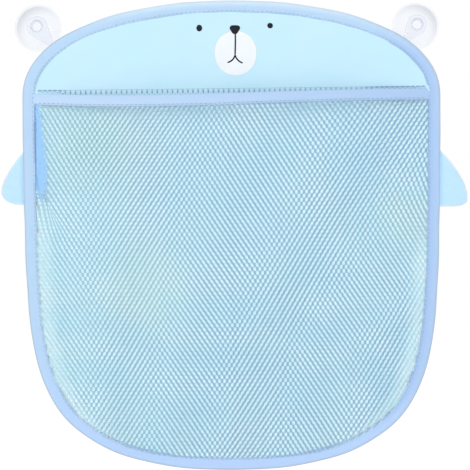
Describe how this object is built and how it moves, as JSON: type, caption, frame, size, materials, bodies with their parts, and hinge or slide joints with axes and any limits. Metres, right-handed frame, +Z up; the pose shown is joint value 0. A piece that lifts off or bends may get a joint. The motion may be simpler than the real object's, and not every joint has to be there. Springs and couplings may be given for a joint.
{
  "type": "bath toy organizer",
  "caption": "Flat mesh storage bag with a wire rim, a cloth header, an open-topped net pocket and paws, hung on a wall by clear suction cups on flexible tabs.",
  "frame": {"origin": "on the wall plane, on the bag's middle line, level with the centre of the left suction cup", "axes": "+X to the right as seen from the room, +Y into the wall, +Z up; the front of the bag faces -Y"},
  "size_m": [0.3897, 0.0375, 0.391],
  "materials": {
    "net": "knitted polyester net, satin yarn",
    "binding_tape": "woven polyester bias tape, matt with a slight sheen",
    "header_cloth": "close-woven polyester cloth, matt",
    "paw_cloth": "close-woven polyester cloth, matt",
    "spring_wire": "drawn spring steel",
    "clear_vinyl": "clear flexible vinyl, glossy"
  },
  "bodies": {
    "bag": {"edge_binding": "binding_tape", "rim_wire": "spring_wire", "back_net": "net", "header_front": "header_cloth", "header_lining": "header_cloth"},
    "pocket": {"pocket_net": "net", "mouth_band": "binding_tape"},
    "left_paw": {"left_paw_front": "paw_cloth", "left_paw_back": "paw_cloth"},
    "right_paw": {"right_paw_front": "paw_cloth", "right_paw_back": "paw_cloth"},
    "left_hanger": {"left_tab": "clear_vinyl"},
    "right_hanger": {"right_tab": "clear_vinyl"},
    "left_sucker": {"left_cup": "clear_vinyl"},
    "right_sucker": {"right_cup": "clear_vinyl"}
  },
  "joints": [
    {"name": "pocket_open", "type": "hinge", "parent": "bag", "child": "pocket", "pos_m": [0, -0.0147, -0.35995], "axis": [1, 0, 0], "range_deg": [0, 6], "stiffness_Nm_per_rad": 0.6, "springref_deg": -2.86},
    {"name": "left_paw_fold", "type": "hinge", "parent": "bag", "child": "left_paw", "pos_m": [-0.17528, -0.01315, -0.1269], "axis": [0, 0, 1], "range_deg": [-40, 90], "stiffness_Nm_per_rad": 0.002},
    {"name": "right_paw_fold", "type": "hinge", "parent": "bag", "child": "right_paw", "pos_m": [0.17528, -0.01315, -0.1284], "axis": [0, 0, -1], "range_deg": [-40, 90], "stiffness_Nm_per_rad": 0.002},
    {"name": "left_tab_flex", "type": "hinge", "parent": "bag", "child": "left_hanger", "pos_m": [-0.15053, -0.0104, -0.0145], "axis": [0.788, 0, 0.6157], "range_deg": [0, 90], "stiffness_Nm_per_rad": 0.02},
    {"name": "right_tab_flex", "type": "hinge", "parent": "bag", "child": "right_hanger", "pos_m": [0.14663, -0.0104, -0.0118], "axis": [0.8161, 0, -0.5779], "range_deg": [0, 90], "stiffness_Nm_per_rad": 0.02},
    {"name": "left_cup_spin", "type": "hinge", "parent": "left_hanger", "child": "left_sucker", "pos_m": [-0.16185, -0.0104, 0], "axis": [0, 1, 0], "continuous": true},
    {"name": "right_cup_spin", "type": "hinge", "parent": "right_hanger", "child": "right_sucker", "pos_m": [0.15495, -0.0104, -0.00005], "axis": [0, 1, 0], "continuous": true}
  ]
}
